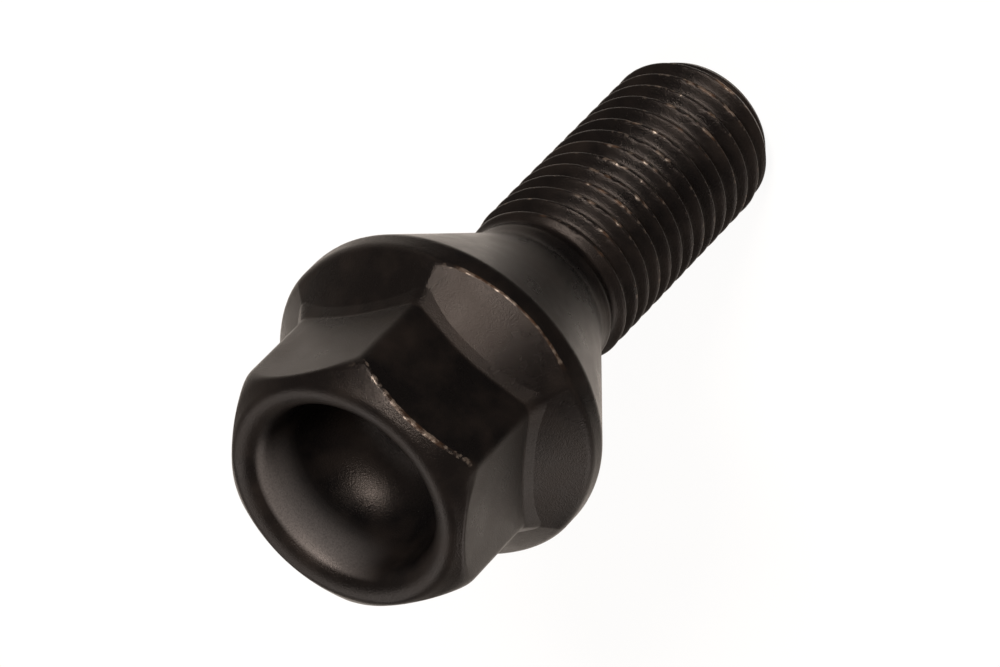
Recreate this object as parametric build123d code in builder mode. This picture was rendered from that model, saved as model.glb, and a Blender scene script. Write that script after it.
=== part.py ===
"""Wheel bolt with a hexagon head, a conical seat and a recessed face.

The bolt is one forging. It stands on its thread end: the origin is the centre of the flat
end face, +Z runs along the bolt towards the head, and two flats of the hexagon face +X and -X.
"""
import math
import os

from build123d import *

# Driving dimensions, in millimetres and degrees

# Threaded shank, plain at its major diameter
thread_diameter = 12.0
shank_length = 23.3
end_face_diameter = 10.0
end_chamfer_angle = 30.0

# Neck between the thread and the seat
neck_diameter = 11.0
neck_length = 0.9
neck_blend_radius = 1.6
run_out_angle = 30.0

# Conical seat and the flange above it
seat_angle = 60.0
flange_overhang = 2.0
rim_height = 1.3
rim_seat_radius = 0.9
rim_front_break = 0.3
flange_face_angle = 45.0

# Hexagon head
hexagon_sides = 6
across_flats = 17.0
hexagon_corner_radius = 1.0
head_height = 11.2
hexagon_root_radius = 0.6
head_chamfer_angle = 40.0
head_chamfer_inset = 0.35
face_edge_break = 0.3

# Recess forged into the face of the head
recess_wall = 2.05
recess_depth = 7.4
recess_draft = 4.0
recess_floor_radius = 4.4
recess_lip_width = 0.8
recess_lip_depth = 0.7


def tangent(angle):
    """Tangent of an angle in degrees."""
    return math.tan(math.radians(angle))


# Radii that follow from the driving dimensions
half_side_angle = 180 / hexagon_sides
corner_stretch = 1 / math.cos(math.radians(half_side_angle))
thread_radius = thread_diameter / 2
end_face_radius = end_face_diameter / 2
neck_radius = neck_diameter / 2
flat_radius = across_flats / 2
corner_radius = flat_radius * corner_stretch - hexagon_corner_radius * (corner_stretch - 1)
rim_radius = corner_radius + flange_overhang
face_ring_radius = flat_radius - head_chamfer_inset
recess_mouth_radius = flat_radius - recess_wall
recess_base_radius = recess_mouth_radius - recess_depth * tangent(recess_draft)
lip_inner_radius = recess_mouth_radius - recess_lip_depth * tangent(recess_draft)
lip_outer_radius = recess_mouth_radius + recess_lip_width
flange_core_radius = (flat_radius + recess_mouth_radius) / 2

# Heights above the end face
end_chamfer_height = (thread_radius - end_face_radius) / tangent(end_chamfer_angle)
neck_bottom = shank_length - neck_length
thread_top = neck_bottom - (thread_radius - neck_radius) / tangent(run_out_angle)
rim_bottom = shank_length + (rim_radius - neck_radius) / tangent(seat_angle / 2)
rim_top = rim_bottom + rim_height
face_height = rim_top + head_height
hexagon_root = rim_top + (rim_radius - flat_radius) / tangent(flange_face_angle)
flange_core_top = rim_top + (rim_radius - flange_core_radius) / tangent(flange_face_angle)
chamfer_bottom = face_height - (rim_radius - face_ring_radius) * tangent(head_chamfer_angle)
recess_floor = face_height - recess_depth
lip_bottom = face_height - recess_lip_depth


def profile_corner(sketch, radius, height):
    """The vertex of a turned profile that lies at a given radius and height."""
    return sketch.vertices().sort_by_distance(Vector(radius, height))[0]


with BuildPart() as wheel_bolt:
    # Hexagon blank with rounded corners, from the flange up to the face
    with BuildSketch(Plane.XY.offset(rim_top)) as hexagon:
        RegularPolygon(flat_radius, hexagon_sides, major_radius=False, rotation=half_side_angle)
        fillet(hexagon.vertices(), hexagon_corner_radius)
    extrude(amount=head_height)

    # Turned envelope that chamfers the six corners and breaks the edge of the face
    with BuildSketch(Plane.XZ) as envelope:
        with BuildLine():
            Polyline(
                (0, rim_top),
                (rim_radius, rim_top),
                (rim_radius, chamfer_bottom),
                (face_ring_radius, face_height),
                (0, face_height),
                close=True,
            )
        make_face()
        chamfer(profile_corner(envelope, face_ring_radius, face_height), face_edge_break)
    revolve(axis=Axis.Z, mode=Mode.INTERSECT)

    # Flange, seat, neck and shank as one turned profile
    with BuildSketch(Plane.XZ) as turned:
        with BuildLine():
            Polyline(
                (0, 0),
                (end_face_radius, 0),
                (thread_radius, end_chamfer_height),
                (thread_radius, thread_top),
                (neck_radius, neck_bottom),
                (neck_radius, shank_length),
                (rim_radius, rim_bottom),
                (rim_radius, rim_top),
                (flange_core_radius, flange_core_top),
                (0, flange_core_top),
                close=True,
            )
        make_face()
        fillet(profile_corner(turned, neck_radius, shank_length), neck_blend_radius)
        fillet(profile_corner(turned, rim_radius, rim_bottom), rim_seat_radius)
        chamfer(profile_corner(turned, rim_radius, rim_top), rim_front_break)
    revolve(axis=Axis.Z)

    # Round at the root of the hexagon, where its sides run into the flange
    root_edges = wheel_bolt.edges().filter_by_position(Axis.Z, rim_top, hexagon_root + hexagon_root_radius)
    root_edges = root_edges.filter_by(GeomType.CIRCLE, reverse=True).filter_by(GeomType.LINE, reverse=True)
    fillet(root_edges, hexagon_root_radius)

    # Recess with a rounded lip, a drafted wall and a bowl-shaped floor
    with BuildSketch(Plane.XZ) as recess:
        with BuildLine():
            Bezier(
                (lip_inner_radius, lip_bottom),
                (recess_mouth_radius, face_height),
                (lip_outer_radius, face_height),
            )
            Polyline(
                (lip_outer_radius, face_height),
                (0, face_height),
                (0, recess_floor),
                (recess_base_radius, recess_floor),
                (lip_inner_radius, lip_bottom),
            )
        make_face()
        fillet(profile_corner(recess, recess_base_radius, recess_floor), recess_floor_radius)
    revolve(axis=Axis.Z, mode=Mode.SUBTRACT)

wheel_bolt.part.label = "wheel_bolt"
os.makedirs("parts", exist_ok=True)
export_step(wheel_bolt.part, "parts/wheel_bolt.step")
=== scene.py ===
"""Looks of a black forged wheel bolt: rolled thread, conical seat, flange and hexagon head.

The file is laid out as an add-on and run as a script. Lengths are in metres, in the frame of the
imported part: the bolt stands on the end of its thread, and +Z runs towards the head.
"""
import math
from typing import NamedTuple

import bmesh
import bpy
from bpy.props import FloatProperty, FloatVectorProperty, IntProperty, PointerProperty
from mathutils import Euler, Matrix, Vector, noise


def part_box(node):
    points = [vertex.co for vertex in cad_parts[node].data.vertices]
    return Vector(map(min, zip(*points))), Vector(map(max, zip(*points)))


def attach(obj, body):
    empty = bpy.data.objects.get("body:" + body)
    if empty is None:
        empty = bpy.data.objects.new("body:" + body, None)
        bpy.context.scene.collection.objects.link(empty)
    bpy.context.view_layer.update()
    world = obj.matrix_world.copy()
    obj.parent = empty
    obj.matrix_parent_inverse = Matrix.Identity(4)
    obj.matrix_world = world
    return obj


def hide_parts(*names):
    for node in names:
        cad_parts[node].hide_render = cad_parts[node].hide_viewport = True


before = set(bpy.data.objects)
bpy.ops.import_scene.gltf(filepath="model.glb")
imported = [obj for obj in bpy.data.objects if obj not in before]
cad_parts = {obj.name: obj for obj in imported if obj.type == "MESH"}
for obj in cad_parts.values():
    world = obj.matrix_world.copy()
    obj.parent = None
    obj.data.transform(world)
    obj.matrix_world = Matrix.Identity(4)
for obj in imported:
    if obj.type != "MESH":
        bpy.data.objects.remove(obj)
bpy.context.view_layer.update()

bl_info = {
    "name": "Wheel Bolt",
    "version": (1, 0, 0),
    "blender": (4, 5, 0),
    "location": "View3D > Sidebar > Wheel Bolt",
    "description": "Builds a forged wheel bolt with a rolled thread, and its photo stage",
    "category": "Add Mesh",
}

MM = 0.001
TURN = 2 * math.pi
NODE = "wheel_bolt"
BODY = "root"
SIDES = 6
WEAR_LAYER = "edge_wear"
# Vertex layer of the painted highlight: paler grey on the side of the recess wall that the key lamp
# lights
HIGHLIGHT_LAYER = "painted_highlight"
node_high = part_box(NODE)[1]


def length(name, description, millimetres):
    """A length property with its default in millimetres."""
    return FloatProperty(
        name=name, description=description, default=millimetres * MM, unit="LENGTH", precision=5
    )


def angle(name, description, degrees):
    """An angle property with its default in degrees."""
    return FloatProperty(
        name=name, description=description, default=math.radians(degrees), subtype="ANGLE"
    )


def share(name, description, value):
    """A plain number from nought to one."""
    return FloatProperty(
        name=name, description=description, default=value, min=0, max=1, subtype="FACTOR"
    )


def power(name, description, watts):
    """A lamp's power in watts."""
    return FloatProperty(name=name, description=description, default=watts, unit="POWER")


def place(name, description, value):
    """A place or a size in the room, in metres."""
    return FloatVectorProperty(
        name=name, description=description, default=value, size=3, subtype="TRANSLATION", unit="LENGTH"
    )


def colour(name, description, value):
    """A linear colour."""
    return FloatVectorProperty(
        name=name, description=description, default=value, size=3, min=0, max=1, subtype="COLOR"
    )


class BoltShape(bpy.types.PropertyGroup):
    """Sizes of the forging and its thread"""

    total_length: length("Length", "From the end of the thread to the face of the head", node_high.z / MM)
    rim_radius: length("Rim radius", "Outer radius of the flange", node_high.x / MM)
    thread_radius: length("Thread radius", "Outer radius of the rolled crests", 5.95)
    root_radius: length("Root radius", "Radius at the bottom of the thread", 5.12)
    pitch: length("Pitch", "Height of one turn of the thread", 1.5)
    neck_radius: length("Neck radius", "Radius of the blank above the thread", 5.5)
    shank_length: length("Shank", "From the end of the thread to the start of the seat", 23.3)
    run_out: length("Run-out", "Height over which the thread fades into the neck", 2.4)
    neck_length: length("Neck", "Plain height between the run-out and the seat", 0.55)
    neck_blend: length("Neck blend", "Radius between the neck and the seat", 1.6)
    end_radius: length("End radius", "Radius of the flat end of the thread", 5.0)
    end_angle: angle("End angle", "Slope of the end chamfer from the axis", 30)
    seat_angle: angle("Seat angle", "Slope of the seat from the axis", 30)
    rim_height: length("Rim height", "Height of the flange's outer band", 1.3)
    rim_seat_round: length("Rim seat round", "Radius between the rim and the seat", 0.9)
    rim_front_round: length("Rim front round", "Radius of the rim's worn front edge", 0.2)
    rim_soft_round: length("Rim soft round", "Radius of that edge where it was not struck", 0.9)
    flange_angle: angle("Flange angle", "Slope of the flange's front from the axis", 45)
    crescent_shift: length("Crescent shift", "How far beyond the axis a crescent is struck from", 4.7)
    across_flats: length("Across flats", "Width of the hexagon", 17)
    corner_round: length("Corner round", "Radius of the hexagon's corners", 1.1)
    root_width: length("Root width", "Width of the steep band where a flat meets the flange", 0.42)
    corner_root_width: length("Corner root width", "Width of that band at a corner", 0.75)
    root_angle: angle("Root angle", "Slope of that band from level", 57)
    root_round: length("Root round", "Radius at its upper edge; the lower one has half", 0.4)
    chamfer_angle: angle("Chamfer angle", "Slope of the head's chamfer from its face", 39.5)
    chamfer_inset: length("Chamfer inset", "From a flat to the edge of the face", 0.5)
    chamfer_shift: length("Chamfer shift", "How far the chamfer was struck off centre", 0.35)
    chamfer_round: length("Chamfer round", "Radius where the chamfer meets a flat", 0.36)
    chamfer_soft_round: length("Chamfer soft round", "Radius where it meets an unstruck corner", 2.0)
    face_round: length("Face round", "Radius of the outer edge of the face", 1.8)
    recess_wall: length("Recess wall", "From a flat to the mouth of the recess", 2.15)
    recess_depth: length("Recess depth", "From the face to the floor of the recess", 7.4)
    recess_draft: angle("Recess draft", "Slope of the recess wall from the axis", 6)
    recess_floor_round: length("Recess floor round", "Radius at the foot of the recess wall", 4.4)
    lip_round: length("Lip round", "Least radius of the recess lip", 0.9)
    lip_wide_round: length("Lip wide round", "Radius of the lip on the side struck deeper", 1.9)
    waviness: length("Waviness", "Height of the forging's slow ripples", 0.03)
    crest_damage: length("Crest damage", "Depth of the dents along the thread crests", 0.075)
    edge_damage: length("Edge damage", "Depth of the nicks along worn edges", 0.045)
    # Side of the recess wall that the key lamp lights, painted paler grey as a painted highlight
    highlight_turn: angle("Residue turn", "Side of the recess that holds grey residue", 168)
    spokes: IntProperty(
        name="Spokes", description="Vertices around the bolt", default=240, min=48, max=480
    )


class BoltFinish(bpy.types.PropertyGroup):
    """Colours and gloss of the black phosphate coat and the bare metal under it"""

    coat: colour("Coat", "Black phosphate in the open", (0.0014, 0.0012, 0.0012))
    dusty: colour("Dusty coat", "Paler, browner patches of the coat", (0.0042, 0.0031, 0.0026))
    worn: colour("Worn metal", "Steel rubbed bare on edges and crests", (0.095, 0.075, 0.060))
    rust: colour("Rust tint", "Warm stain beside bare metal", (0.035, 0.017, 0.008))
    gleam: colour("Gleam", "Warm tint of the coat's reflections", (1.0, 0.80, 0.68))
    coat_ior: FloatProperty(
        name="Coat IOR", description="Refraction of the porous coat", default=1.17, min=1
    )
    roughness: share("Roughness", "Mean roughness of the coat", 0.29)
    grain: length("Grain", "Size of the coat's crystals", 0.11)
    fleck: length("Flecks", "Size of the scuffs along edges", 0.45)
    patch: length("Patches", "Size of the paler patches", 3.2)
    relief: length("Relief", "Height of the coat's grain", 0.042)
    # Paler grey painted on the lit side of the recess wall, a painted highlight
    highlight_grey: colour("Dust", "Grey residue on the wall of the recess", (0.044, 0.038, 0.035))


class StageLook(bpy.types.PropertyGroup):
    """Camera, floor and lamps of the photo stage"""

    floor: colour("Floor", "Colour of the pale floor", (0.57, 0.515, 0.46))
    lens: FloatProperty(name="Lens", description="Focal length in millimetres", default=257.0, min=10)
    distance: length("Distance", "From the camera to the point it aims at", 462.4)
    aim_height: length("Aim height", "Height on the bolt's axis that the camera aims at", 26.87)
    azimuth: angle("Azimuth", "Direction of the camera from +X", -1.58)
    elevation: angle("Elevation", "Height of the camera above the floor", 43.9)
    roll: angle("Roll", "Turn of the camera about its line of sight", 135.85)
    key_power: power("Key", "Power of the soft key lamp", 5.8)
    key_size: place("Key size", "Width and height of the key lamp", (0.13, 0.09, 0))
    key_place: place("Key place", "Where the key lamp stands", (0.335, 0.146, 0.396))
    fill_power: power("Fill", "Power of the fill lamp", 1.0)
    fill_size: place("Fill size", "Width and height of the fill lamp", (0.14, 0.10, 0))
    fill_place: place("Fill place", "Where the fill lamp stands", (0.44, 0.03, 0.225))
    top_power: power("Top", "Power of the lamp above", 2.6)
    top_size: place("Top size", "Width and height of the lamp above", (0.40, 0.30, 0))
    top_place: place("Top place", "Where the lamp above hangs", (-0.40, 0.03, 0.50))
    side_power: power("Side", "Power of the side lamp", 1.5)
    side_size: place("Side size", "Width and height of the side lamp", (0.20, 0.24, 0))
    side_place: place("Side place", "Where the side lamp stands", (-0.08, -0.47, 0.135))
    # A dark card seen only in reflections: painted shade in the reflections of the near flat and the rim
    card_size: place("Card size", "Depth and width of the dark card in front", (0.12, 0.16, 0))
    card_place: place("Card place", "Middle of the dark card", (0.070, 0, 0.0005))
    card: colour("Card", "Colour of the dark card", (0.02, 0.018, 0.017))
    surround: colour("Surroundings", "Warm white of the room around the bolt", (0.57, 0.45, 0.365))
    backdrop: share("Backdrop", "How far the floor is seen as plain white", 0.92)
    mirrored: share("Mirrored", "Share of the white surroundings that gloss shows", 0.2)


def smooth_step(low, high, value):
    """Eased nought to one between two limits."""
    part = min(1.0, max(0.0, (value - low) / (high - low)))
    return part * part * (3 - 2 * part)


def between(first, second, part):
    """The value at a part of the way from one value to another."""
    return first + (second - first) * part


def soft_least(first, second, width):
    """The smaller of two values, with the corner between them rounded."""
    part = max(width - abs(first - second), 0.0) / width
    return min(first, second) - part * part * width / 4


def ripple(point, size, octaves=2):
    """Slow noise from about -1 to 1 with bumps of a given size."""
    fall_off = 1.0
    lacunarity = 2.0
    return noise.fractal(point / size, fall_off, lacunarity, octaves, noise_basis="PERLIN_ORIGINAL")


class Corner(NamedTuple):
    """A corner of a section, with the radius, the steps and the wear of the arc that rounds it."""

    radius: float
    height: float
    round: float = 0.0
    steps: int = 0
    wear: float = 0.0

    def point(self):
        """Place of the corner in the plane of the section."""
        return Vector((self.radius, self.height))


def rounded_path(corners, spans):
    """A path of (radius, height, wear) through the corners of a section.

    Every arc is tangent to its two sides. A span lists where the straight side after each corner is
    split, as shares of its length, so that paths of one kind match point by point.
    """
    arcs = [[corners[0].point()]]
    for before, here, after in zip(corners, corners[1:], corners[2:]):
        corner = here.point()
        back = (before.point() - corner).normalized()
        ahead = (after.point() - corner).normalized()
        half = back.angle(ahead) / 2
        reach = here.round / math.tan(half)
        centre = corner + (back + ahead).normalized() * here.round / math.sin(half)
        start = corner + back * reach - centre
        sweep = back.angle_signed(-ahead)
        turns = [Matrix.Rotation(-sweep * step / here.steps, 2) for step in range(here.steps + 1)]
        arcs.append([centre + turn @ start for turn in turns])
    arcs.append([corners[-1].point()])
    path = []
    for arc, following, corner, shares in zip(arcs, arcs[1:], corners, spans):
        path.extend((*point, corner.wear) for point in arc)
        path.extend((*arc[-1].lerp(following[0], part), 0.0) for part in shares)
    path.append((*arcs[-1][0], 0.0))
    return path


def from_flat_middle(turn):
    """Angle from the middle of the nearest flat of the hexagon."""
    half_side = math.pi / SIDES
    return abs((turn + half_side) % (2 * half_side) - half_side)


def hexagon_radius(shape, turn):
    """Distance from the axis to the rounded hexagon, with flats square to +X."""
    flat = shape.across_flats / 2
    half_side = math.pi / SIDES
    from_flat = from_flat_middle(turn)
    tangent_turn = math.atan2((flat - shape.corner_round) * math.tan(half_side), flat)
    if from_flat < tangent_turn:
        return flat / math.cos(from_flat)
    centre = (flat - shape.corner_round) / math.cos(half_side)
    from_corner = half_side - from_flat
    across = centre * math.sin(from_corner)
    return centre * math.cos(from_corner) + math.sqrt(shape.corner_round ** 2 - across ** 2)


def crescent_height(shape, radius, turn):
    """Height of the flange's front above the middle of the rim's edge.

    Each flat has a crescent of its own, a wide cone struck from beyond the axis, so that two crescents
    meet in a crease that runs from a corner of the hexagon to the rim.
    """
    shift = shape.crescent_shift
    reach = math.sqrt(radius ** 2 + shift ** 2 + 2 * radius * shift * math.cos(from_flat_middle(turn)))
    return (shape.rim_radius + shift - reach) / math.tan(shape.flange_angle)


def seat_top(shape):
    """Height at which the seat ends and the rim begins."""
    return shape.shank_length + (shape.rim_radius - shape.neck_radius) / math.tan(shape.seat_angle)


# Where the straight sides of a section are split, as shares of their length
STRAIGHT = (0.02, 0.06, 0.15, 0.3, 0.5, 0.7, 0.85, 0.94, 0.98)
SHORT = (0.08, 0.5, 0.92)

# Most of the chamfer that one arc may take up, and most of the face that its outer arc may
CHAMFER_SHARE = 0.45
FACE_SHARE = 0.95

# Cosines of the angle from +X between which a blow to the chamfer and wear of the edges fade in
STRUCK_SIDE = (0.78, 0.9)
BRUISED_SIDE = (0.82, 0.98)

# How far use has rubbed the edges of the head
SEAT_WEAR = 0.15
EDGE_WEAR = 0.12
BRUISE_WEAR = 0.5
CORNER_WEAR = 0.2

# Last ring of the recess floor, which closes in one point
POLE_RADIUS = 0.3 * MM


def head_section(shape, turn):
    """Section of the head at one angle, from the neck up over the flange and down into the recess."""
    flat = shape.across_flats / 2
    side = hexagon_radius(shape, turn)
    corner = hexagon_radius(shape, math.pi / SIDES)
    cornered = ((side - flat) / (corner - flat)) ** 2
    rim_low = seat_top(shape)
    rim_middle = rim_low + shape.rim_height
    rim_high = rim_middle + crescent_height(shape, shape.rim_radius, turn)
    band = between(shape.root_width, shape.corner_root_width, cornered)
    root = rim_middle + crescent_height(shape, side + band, turn)
    root_top = root + band * math.tan(shape.root_angle)
    face = shape.total_length
    ring = flat - shape.chamfer_inset - shape.chamfer_shift * math.cos(turn)
    chamfer = face - (side - ring) * math.tan(shape.chamfer_angle)
    slope = (side - ring) / math.cos(shape.chamfer_angle)
    mouth = flat - shape.recess_wall
    wide = 0.5 - 0.5 * math.cos(turn)
    lip_round = between(shape.lip_round, shape.lip_wide_round, wide)
    lip_reach = lip_round / math.tan(math.pi / 4 + shape.recess_draft / 2)
    face_reach = min(CHAMFER_SHARE * slope, FACE_SHARE * (ring - mouth - lip_reach))
    face_round = min(shape.face_round, face_reach / math.tan(shape.chamfer_angle / 2))
    struck = smooth_step(*STRUCK_SIDE, math.cos(turn))
    chamfer_round = between(shape.chamfer_round, shape.chamfer_soft_round, cornered * (1 - struck))
    chamfer_limit = CHAMFER_SHARE * slope / math.tan(math.pi / 4 - shape.chamfer_angle / 2)
    base = mouth - shape.recess_depth * math.tan(shape.recess_draft)
    floor = face - shape.recess_depth
    bruised = smooth_step(*BRUISED_SIDE, math.cos(turn))
    rim_round = between(shape.rim_soft_round, shape.rim_front_round, bruised)
    rim_wear = EDGE_WEAR + BRUISE_WEAR * bruised
    chamfer_wear = rim_wear + CORNER_WEAR * cornered * struck
    corners = (
        Corner(shape.neck_radius, shape.shank_length - shape.neck_length),
        Corner(shape.neck_radius, shape.shank_length, shape.neck_blend, steps=6),
        Corner(shape.rim_radius, rim_low, shape.rim_seat_round, steps=7, wear=SEAT_WEAR),
        Corner(shape.rim_radius, rim_high, rim_round, steps=6, wear=rim_wear),
        Corner(side + band, root, shape.root_round / 2, steps=4),
        Corner(side, root_top, shape.root_round, steps=5),
        Corner(side, chamfer, min(chamfer_round, chamfer_limit), steps=5, wear=chamfer_wear),
        Corner(ring, face, face_round, steps=6),
        Corner(mouth, face, lip_round, steps=9),
        Corner(base, floor, shape.recess_floor_round, steps=14),
        Corner(POLE_RADIUS, floor),
    )
    spans = (SHORT, STRAIGHT, SHORT, STRAIGHT, SHORT, STRAIGHT, SHORT, SHORT, STRAIGHT, SHORT)
    return rounded_path(corners, spans)


def thread_height(shape, part):
    """Radius of the undamaged thread at a part of its pitch, from -0.5 to 0.5 with the crest at 0."""
    crest_half = 0.06
    root_half = 0.13
    crest_softness = 0.16
    root_softness = 0.3
    slope = (0.5 - root_half - abs(part)) / (0.5 - root_half - crest_half)
    rise = soft_least(slope, 1.0, crest_softness)
    rise = -soft_least(-rise, 0.0, root_softness)
    return between(shape.root_radius, shape.thread_radius, rise)


# Rows of vertices in one turn of the thread, as shares of the pitch from its crest
FLANK_ROWS = (0.05, 0.085, 0.14, 0.22, 0.30, 0.37, 0.44)
THREAD_ROWS = (*(-row for row in reversed(FLANK_ROWS)), 0.0, *FLANK_ROWS, 0.5)

# How near two points are merged, and how near a plane a cut or a search finds them
MERGE_DISTANCE = 0.002 * MM
CUT_DISTANCE = 0.0005 * MM
LEVEL_DISTANCE = 0.001 * MM

# How far a vertex on a cut may lie from its spoke, as a share of the gap between spokes
SPOKE_SLACK = 0.02


def spin_thread(mesh, shape):
    """Spins one edge of the thread into a helix and trims it at the end and below the neck."""
    top = shape.shank_length - shape.neck_length
    spare_turns = 2
    turns = math.ceil(top / shape.pitch) + spare_turns
    verts = []
    for index in range(-spare_turns, turns):
        for part in THREAD_ROWS:
            radius = thread_height(shape, part)
            verts.append(mesh.verts.new((radius, 0, (index + part) * shape.pitch)))
    edges = [mesh.edges.new(pair) for pair in zip(verts, verts[1:])]
    step = Vector((0, 0, shape.pitch / shape.spokes))
    bmesh.ops.spin(
        mesh, geom=verts + edges, cent=(0, 0, 0), axis=(0, 0, 1), dvec=step,
        angle=TURN, steps=shape.spokes,
    )
    bmesh.ops.remove_doubles(mesh, verts=mesh.verts, dist=MERGE_DISTANCE)
    for height, outward in ((0.0, -1), (top, 1)):
        everything = mesh.verts[:] + mesh.edges[:] + mesh.faces[:]
        bmesh.ops.bisect_plane(
            mesh, geom=everything, dist=CUT_DISTANCE, plane_co=(0, 0, height), plane_no=(0, 0, outward),
            clear_outer=True,
        )
    return top


def spoke_of(vert, spokes):
    """Place of a vertex around the bolt, counted in spokes."""
    return math.atan2(vert.co.y, vert.co.x) / TURN * spokes % spokes


def verts_at(mesh, height):
    """Vertices on the cut edge at a height."""
    return [vert for vert in mesh.verts if abs(vert.co.z - height) < LEVEL_DISTANCE]


def trim_loop(mesh, shape, height):
    """Leaves one vertex per spoke on the cut edge at a height."""
    spare = []
    for vert in verts_at(mesh, height):
        spoke = spoke_of(vert, shape.spokes)
        if abs(spoke - round(spoke)) > SPOKE_SLACK:
            spare.append(vert)
    bmesh.ops.dissolve_verts(mesh, verts=spare)
    level = verts_at(mesh, height)
    if len(level) != shape.spokes:
        raise RuntimeError(f"the cut at {height} has {len(level)} vertices and not {shape.spokes}")
    chosen = set(level)
    return [edge for edge in mesh.edges if edge.is_boundary and set(edge.verts) <= chosen]


# Battered side of the thread: its angle from +X in radians, and the cosines between which it fades in
BATTERED_TURN = 0.2
BATTERED_SIDE = (0.82, 0.99)

# Levels of noise between which dents and rubbed spots grow, and the size of each
DENT_LEVELS = (0.1, 0.5)
DENT_SIZE = 0.5 * MM
RUB_LEVELS = (-0.1, 0.5)
RUB_SIZE = 0.7 * MM

# Shares of the pitch from the crest at which dents and bare steel start and are full, and how much
# further out bare steel starts on the battered side
DENT_REACH = (0.17, 0.04)
BARE_REACH = (0.1, 0.045)
BATTERED_REACH = 0.07

# Dents outside the battered side, and how far the crests are rubbed everywhere and on that side
QUIET_DENTS = 0.12
CREST_WEAR = 0.36
BATTERED_WEAR = 0.5

# Gap between the run-out and the neck, and how softly the end chamfer cuts the thread
RUN_OUT_GAP = 0.05 * MM
END_SOFTNESS = 0.1 * MM


def shape_thread(mesh, shape, wear, top):
    """Fades the thread into the neck, chamfers its end and dents its crests."""
    for vert in mesh.verts:
        turn = math.atan2(vert.co.y, vert.co.x)
        height = vert.co.z
        part = (height / shape.pitch - turn / TURN + 0.5) % 1 - 0.5
        radius = thread_height(shape, part)
        crest = smooth_step(*DENT_REACH, abs(part))
        spot = vert.co.copy()
        battered = smooth_step(*BATTERED_SIDE, math.cos(turn - BATTERED_TURN))
        dents = smooth_step(*DENT_LEVELS, ripple(spot, DENT_SIZE, 3)) * between(QUIET_DENTS, 1, battered)
        radius -= crest * dents * shape.crest_damage
        fade = smooth_step(top - RUN_OUT_GAP, top - shape.run_out, height)
        radius = between(shape.neck_radius, radius, fade)
        taper = shape.end_radius + height * math.tan(shape.end_angle)
        radius = soft_least(radius, taper, END_SOFTNESS)
        vert.co.x = radius * math.cos(turn)
        vert.co.y = radius * math.sin(turn)
        rubbed = smooth_step(*RUB_LEVELS, ripple(spot, RUB_SIZE))
        bare_start, bare_full = BARE_REACH
        bare = smooth_step(bare_start + BATTERED_REACH * battered, bare_full, abs(part))
        vert[wear] = bare * fade * (CREST_WEAR + BATTERED_WEAR * rubbed * battered)


def grow_ring(mesh, edges):
    """Extrudes the loop of edges on a rim and returns the new loop's edges and vertices."""
    grown = bmesh.ops.extrude_edge_only(mesh, edges=edges)["geom"]
    new_verts = [item for item in grown if isinstance(item, bmesh.types.BMVert)]
    chosen = set(new_verts)
    all_edges = [item for item in grown if isinstance(item, bmesh.types.BMEdge)]
    new_edges = [edge for edge in all_edges if set(edge.verts) <= chosen]
    return new_edges, new_verts


# How strongly the spokes crowd towards the corners of the hexagon
CROWDING = 0.55

# Sizes of the forging's slow swells and of the nicks in its edges
SWELL_SIZE = 5 * MM
NICK_SIZE = 0.6 * MM

# Where the recess wall is painted paler grey as a painted highlight: below the mouth, on the side
# the key lamp lights by its cosine, and between two depths
MOUTH_DEPTH = 0.5 * MM
LIT_WALL_SIDE = (0.4, 1.0)
HIGHLIGHT_END = 4.2 * MM
HIGHLIGHT_FULL = 1.2 * MM


def grow_head(mesh, shape, edges, spoke_layer, wear, painted_highlight):
    """Grows the head from the cut above the thread, one ring at a time."""
    turns = []
    for spoke in range(shape.spokes):
        turn = spoke / shape.spokes * TURN
        from_corner = turn - math.pi / SIDES
        turns.append((turn, turn - CROWDING * math.sin(SIDES * from_corner) / SIDES))
    sections = [head_section(shape, crowded) for _, crowded in turns]
    rim_low = seat_top(shape)
    face = shape.total_length
    floor = face - shape.recess_depth
    far_side = sections[shape.spokes // 2]
    mouth_ring = max(ring for ring, point in enumerate(far_side) if point[1] > face - MOUTH_DEPTH)
    for ring in range(1, len(sections[0])):
        edges, verts = grow_ring(mesh, edges)
        for vert in verts:
            spoke = vert[spoke_layer]
            radius, height, edge = sections[spoke][ring]
            turn, crowded = turns[spoke]
            forged = smooth_step(shape.shank_length, rim_low, height)
            turn = between(turn, crowded, forged)
            spot = Vector((radius * math.cos(turn), radius * math.sin(turn), height))
            swell = min(1.0, max(-1.0, ripple(spot, SWELL_SIZE)))
            radius -= forged * shape.waviness * (0.5 + 0.5 * swell)
            nicks = smooth_step(*DENT_LEVELS, ripple(spot, NICK_SIZE))
            radius -= edge * nicks * shape.edge_damage
            vert.co = (radius * math.cos(turn), radius * math.sin(turn), height)
            vert[wear] = edge
            # Paints the lit side of the recess wall paler grey, a painted highlight
            if ring > mouth_ring:
                lit_side = smooth_step(*LIT_WALL_SIDE, math.cos(turn - shape.highlight_turn))
                vert[painted_highlight] = lit_side * smooth_step(face - HIGHLIGHT_END, face - HIGHLIGHT_FULL, height)
    bmesh.ops.pointmerge(mesh, verts=verts, merge_co=(0, 0, floor))


# Rings of the flat end of the thread, as shares of its radius
END_RINGS = (0.96, 0.8, 0.5, 0.2)


def close_end(mesh, shape, edges):
    """Closes the flat end of the thread."""
    for ring in END_RINGS:
        edges, verts = grow_ring(mesh, edges)
        for vert in verts:
            vert.co = Vector((vert.co.x, vert.co.y, 0)).normalized() * shape.end_radius * ring
    bmesh.ops.pointmerge(mesh, verts=verts, merge_co=(0, 0, 0))


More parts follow.
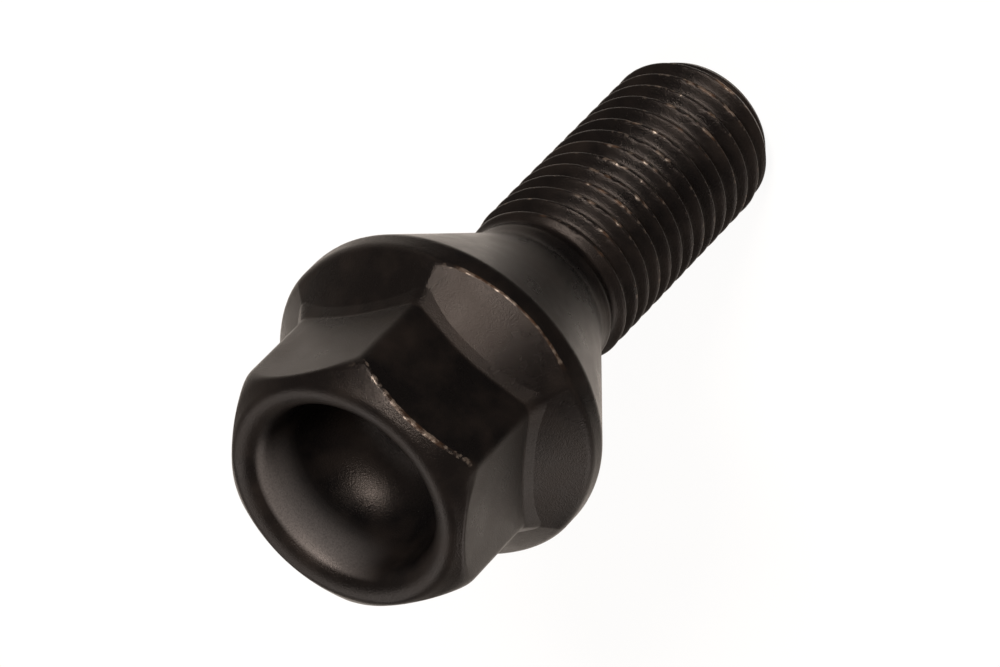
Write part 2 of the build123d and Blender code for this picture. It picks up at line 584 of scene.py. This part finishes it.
class BOLT_OT_add_forging(bpy.types.Operator):
    """Model the forging with its thread and replace the plain solid"""

    bl_idname = "bolt.add_forging"
    bl_label = "Add Forging"

    def execute(self, context):
        shape = context.scene.bolt_shape
        mesh = bmesh.new()
        spoke_layer = mesh.verts.layers.int.new("spoke")
        wear = mesh.verts.layers.float.new(WEAR_LAYER)
        painted_highlight = mesh.verts.layers.float.new(HIGHLIGHT_LAYER)
        top = spin_thread(mesh, shape)
        head_edges = trim_loop(mesh, shape, top)
        end_edges = trim_loop(mesh, shape, 0.0)
        for vert in mesh.verts:
            vert[spoke_layer] = round(spoke_of(vert, shape.spokes)) % shape.spokes
        shape_thread(mesh, shape, wear, top)
        grow_head(mesh, shape, head_edges, spoke_layer, wear, painted_highlight)
        close_end(mesh, shape, end_edges)
        bmesh.ops.recalc_face_normals(mesh, faces=mesh.faces)
        for face in mesh.faces:
            face.smooth = True
        data = bpy.data.meshes.new("forged_bolt")
        mesh.to_mesh(data)
        mesh.free()
        forging = bpy.data.objects.new("forged_bolt", data)
        context.scene.collection.objects.link(forging)
        data.materials.append(black_phosphate(context.scene.bolt_finish))
        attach(forging, BODY)
        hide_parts(NODE)
        return {"FINISHED"}


# Levels of noise or wear between which each part of the finish fades in
DUSTY_LEVELS = (0.42, 0.72)
DULL_LEVELS = (0.3, 0.7)
SCUFF_LEVELS = (0.84, 1.14)
BARE_LEVELS = (0.05, 0.6)
STAIN_LEVELS = (0.2, 0.6)
HIGHLIGHT_GRAIN_LEVELS = (-0.2, 0.6)

# What flecks and wear add to a scuff
FLECK_WEIGHT = 1.1
WEAR_WEIGHT = 0.55

# How far the roughness falls and rises over the patches, and how strongly grain and flecks stand out
LESS_ROUGH = 0.05
MORE_ROUGH = 0.09
BUMP_STRENGTH = 0.6
FLECK_RELIEF = 0.18


def black_phosphate(finish):
    """Dark crystalline coat, rubbed through to steel on edges and crests."""
    material = bpy.data.materials.new("black_phosphate")
    material.use_nodes = True
    tree = material.node_tree
    shader = tree.nodes["Principled BSDF"]
    shader.inputs["IOR"].default_value = finish.coat_ior
    shader.inputs["Specular Tint"].default_value = (*finish.gleam, 1)
    spot = tree.nodes.new("ShaderNodeTexCoord").outputs["Object"]
    patches = noise_field(tree, spot, finish.patch, detail=4, roughness=0.55)
    crystals = noise_field(tree, spot, finish.grain, detail=3, roughness=0.6)
    flecks = noise_field(tree, spot, finish.fleck, detail=2, roughness=0.5)
    rubbed = vertex_mask(tree, WEAR_LAYER)
    painted_highlight = vertex_mask(tree, HIGHLIGHT_LAYER)
    dusty = ramp(tree, patches, *DUSTY_LEVELS)
    from_wear = combine(tree, "MULTIPLY", rubbed, WEAR_WEIGHT)
    scuffs = combine(tree, "MULTIPLY_ADD", flecks, FLECK_WEIGHT, from_wear)
    bare = combine(tree, "MULTIPLY", ramp(tree, scuffs, *SCUFF_LEVELS), ramp(tree, rubbed, *BARE_LEVELS))
    stain = ramp(tree, combine(tree, "MULTIPLY", patches, rubbed), *STAIN_LEVELS)
    # Paler grey painted on the lit side of the recess wall, a painted highlight
    painted_highlight_grain = combine(tree, "MULTIPLY", painted_highlight, ramp(tree, crystals, *HIGHLIGHT_GRAIN_LEVELS))
    tint = blend(tree, dusty, finish.coat, finish.dusty)
    tint = blend(tree, painted_highlight_grain, tint, finish.highlight_grey)
    tint = blend(tree, stain, tint, finish.rust)
    tint = blend(tree, bare, tint, finish.worn)
    tree.links.new(tint, shader.inputs["Base Color"])
    tree.links.new(bare, shader.inputs["Metallic"])
    dull = ramp(tree, patches, *DULL_LEVELS, finish.roughness - LESS_ROUGH, finish.roughness + MORE_ROUGH)
    tree.links.new(dull, shader.inputs["Roughness"])
    bump = tree.nodes.new("ShaderNodeBump")
    bump.inputs["Strength"].default_value = BUMP_STRENGTH
    bump.inputs["Distance"].default_value = finish.relief
    relief = combine(tree, "MULTIPLY_ADD", flecks, FLECK_RELIEF, crystals)
    tree.links.new(relief, bump.inputs["Height"])
    tree.links.new(bump.outputs["Normal"], shader.inputs["Normal"])
    return material


def vertex_mask(tree, layer):
    """A value that the mesh keeps on its vertices."""
    node = tree.nodes.new("ShaderNodeAttribute")
    node.attribute_name = layer
    return node.outputs["Fac"]


def noise_field(tree, spot, size, detail, roughness):
    """Noise with bumps of a given size in metres, read at the object's own coordinates."""
    node = tree.nodes.new("ShaderNodeTexNoise")
    node.inputs["Scale"].default_value = 1 / size
    node.inputs["Detail"].default_value = detail
    node.inputs["Roughness"].default_value = roughness
    tree.links.new(spot, node.inputs["Vector"])
    return node.outputs["Fac"]


def ramp(tree, value, low, high, to_low=0.0, to_high=1.0):
    """A value stretched between two limits and held there."""
    node = tree.nodes.new("ShaderNodeMapRange")
    node.inputs["From Min"].default_value = low
    node.inputs["From Max"].default_value = high
    node.inputs["To Min"].default_value = to_low
    node.inputs["To Max"].default_value = to_high
    tree.links.new(value, node.inputs["Value"])
    return node.outputs["Result"]


def combine(tree, operation, *values):
    """A Math node fed with sockets or plain numbers."""
    node = tree.nodes.new("ShaderNodeMath")
    node.operation = operation
    for socket, value in zip(node.inputs, values):
        if isinstance(value, bpy.types.NodeSocket):
            tree.links.new(value, socket)
        else:
            socket.default_value = value
    return node.outputs["Value"]


def blend(tree, share_of_second, first, second):
    """A colour mixed from two, each a socket or a plain colour."""
    node = tree.nodes.new("ShaderNodeMix")
    node.data_type = "RGBA"
    tree.links.new(share_of_second, node.inputs["Factor"])
    colour_sockets = [socket for socket in node.inputs if socket.type == "RGBA"]
    for socket, value in zip(colour_sockets, (first, second)):
        if isinstance(value, bpy.types.NodeSocket):
            tree.links.new(value, socket)
        else:
            socket.default_value = (*value, 1)
    return next(socket for socket in node.outputs if socket.type == "RGBA")


class BOLT_OT_set_stage(bpy.types.Operator):
    """Set the floor, the lamps and the camera"""

    bl_idname = "bolt.set_stage"
    bl_label = "Set Stage"

    def execute(self, context):
        scene = context.scene
        look = scene.stage_look
        scene.view_settings.view_transform = "Standard"
        add_floor(scene, look)
        add_shade_card(scene, look)
        light_world(scene, look)
        aim = Vector((0, 0, look.aim_height))
        add_lamp(scene, aim, "key", look.key_power, look.key_size, look.key_place)
        add_lamp(scene, aim, "fill", look.fill_power, look.fill_size, look.fill_place)
        add_lamp(scene, aim, "top", look.top_power, look.top_size, look.top_place)
        add_lamp(scene, aim, "side", look.side_power, look.side_size, look.side_place)
        add_camera(scene, look, aim)
        return {"FINISHED"}


# Width of the floor in metres, and the roughness of the floor and the card
FLOOR_WIDTH = 6.0
MATT = 0.9


def add_sheet(scene, name, along_x, along_y, middle):
    """Flat rectangle that faces up, as a mesh object of the stage."""
    mesh = bmesh.new()
    bmesh.ops.create_grid(mesh, x_segments=1, y_segments=1, size=0.5)
    bmesh.ops.scale(mesh, vec=(along_x, along_y, 1), verts=mesh.verts)
    bmesh.ops.translate(mesh, vec=middle, verts=mesh.verts)
    data = bpy.data.meshes.new(name)
    mesh.to_mesh(data)
    mesh.free()
    sheet = bpy.data.objects.new(name, data)
    scene.collection.objects.link(sheet)
    return sheet


def matt_paint(name, tint):
    """Plain matt material."""
    material = bpy.data.materials.new(name)
    material.use_nodes = True
    shader = material.node_tree.nodes["Principled BSDF"]
    shader.inputs["Base Color"].default_value = (*tint, 1)
    shader.inputs["Roughness"].default_value = MATT
    return material


def add_floor(scene, look):
    """Plain pale floor under the bolt."""
    floor = add_sheet(scene, "floor", FLOOR_WIDTH, FLOOR_WIDTH, (0, 0, 0))
    material = matt_paint("pale_floor", look.floor)
    tree = material.node_tree
    white = tree.nodes.new("ShaderNodeEmission")
    mix = tree.nodes.new("ShaderNodeMixShader")
    tree.links.new(seen_directly(tree, look.backdrop, look.mirrored), mix.inputs["Fac"])
    tree.links.new(tree.nodes["Principled BSDF"].outputs["BSDF"], mix.inputs[1])
    tree.links.new(white.outputs["Emission"], mix.inputs[2])
    tree.links.new(mix.outputs["Shader"], tree.nodes["Material Output"].inputs["Surface"])
    floor.data.materials.append(material)


def add_shade_card(scene, look):
    """Dark card on the floor in front, seen only in reflections, as painted shade in the near flat's
    reflection.
    """
    card = add_sheet(scene, "reflected_shade_card", look.card_size[0], look.card_size[1], look.card_place)
    card.data.materials.append(matt_paint("reflected_shade_card", look.card))
    card.visible_camera = False
    card.visible_diffuse = False
    card.visible_shadow = False


def seen_directly(tree, amount, mirrored):
    """A share for what the camera sees, less of it for what gloss sees, and none for other light."""
    rays = tree.nodes.new("ShaderNodeLightPath").outputs
    seen = combine(tree, "MAXIMUM", rays["Is Camera Ray"], rays["Is Transmission Ray"])
    gloss = combine(tree, "MULTIPLY", rays["Is Glossy Ray"], mirrored)
    return combine(tree, "MULTIPLY", combine(tree, "MAXIMUM", seen, gloss), amount)


def light_world(scene, look):
    """Even warm surroundings that the camera sees as white."""
    world = bpy.data.worlds.new("pale_room")
    scene.world = world
    world.use_nodes = True
    tree = world.node_tree
    tint = blend(tree, seen_directly(tree, 1.0, look.mirrored), look.surround, (1, 1, 1))
    tree.links.new(tint, tree.nodes["Background"].inputs["Color"])


def add_lamp(scene, aim, name, watts, size, stand):
    """Soft lamp that faces the bolt."""
    data = bpy.data.lights.new(name, "AREA")
    data.energy = watts
    data.shape = "RECTANGLE"
    data.size = size[0]
    data.size_y = size[1]
    lamp = bpy.data.objects.new(name, data)
    lamp.location = stand
    lamp.rotation_euler = (aim - Vector(stand)).to_track_quat("-Z", "Y").to_euler()
    scene.collection.objects.link(lamp)


def add_camera(scene, look, aim):
    """Camera at the photograph's viewing angle, rolled so that the bolt points up and right."""
    data = bpy.data.cameras.new("camera")
    data.lens = look.lens
    camera = bpy.data.objects.new("camera", data)
    level = math.cos(look.elevation)
    towards = Vector((
        level * math.cos(look.azimuth), level * math.sin(look.azimuth), math.sin(look.elevation)
    ))
    camera.location = aim + towards * look.distance
    upright = (-towards).to_track_quat("-Z", "Y")
    camera.rotation_mode = "QUATERNION"
    camera.rotation_quaternion = upright @ Euler((0, 0, -look.roll)).to_quaternion()
    scene.collection.objects.link(camera)
    scene.camera = camera


class BOLT_PT_sidebar(bpy.types.Panel):
    """Lists the bolt's sizes, finish and stage"""

    bl_label = "Wheel Bolt"
    bl_idname = "BOLT_PT_sidebar"
    bl_space_type = "VIEW_3D"
    bl_region_type = "UI"
    bl_category = "Wheel Bolt"

    def draw(self, context):
        scene = context.scene
        for group in (scene.bolt_shape, scene.bolt_finish, scene.stage_look):
            box = self.layout.box()
            for name in group.bl_rna.properties.keys():
                if name not in ("rna_type", "name"):
                    box.prop(group, name)
        self.layout.operator(BOLT_OT_add_forging.bl_idname)
        self.layout.operator(BOLT_OT_set_stage.bl_idname)


CLASSES = (BoltShape, BoltFinish, StageLook, BOLT_OT_add_forging, BOLT_OT_set_stage, BOLT_PT_sidebar)


def register():
    """Registers the classes and hangs their settings on the scene."""
    for item in CLASSES:
        bpy.utils.register_class(item)
    bpy.types.Scene.bolt_shape = PointerProperty(type=BoltShape)
    bpy.types.Scene.bolt_finish = PointerProperty(type=BoltFinish)
    bpy.types.Scene.stage_look = PointerProperty(type=StageLook)


def unregister():
    """Takes the settings and the classes away again."""
    del bpy.types.Scene.stage_look
    del bpy.types.Scene.bolt_finish
    del bpy.types.Scene.bolt_shape
    for item in reversed(CLASSES):
        bpy.utils.unregister_class(item)


def main():
    """Builds the bolt and its stage."""
    register()
    bpy.ops.bolt.add_forging()
    bpy.ops.bolt.set_stage()


if __name__ == "__main__":
    main()
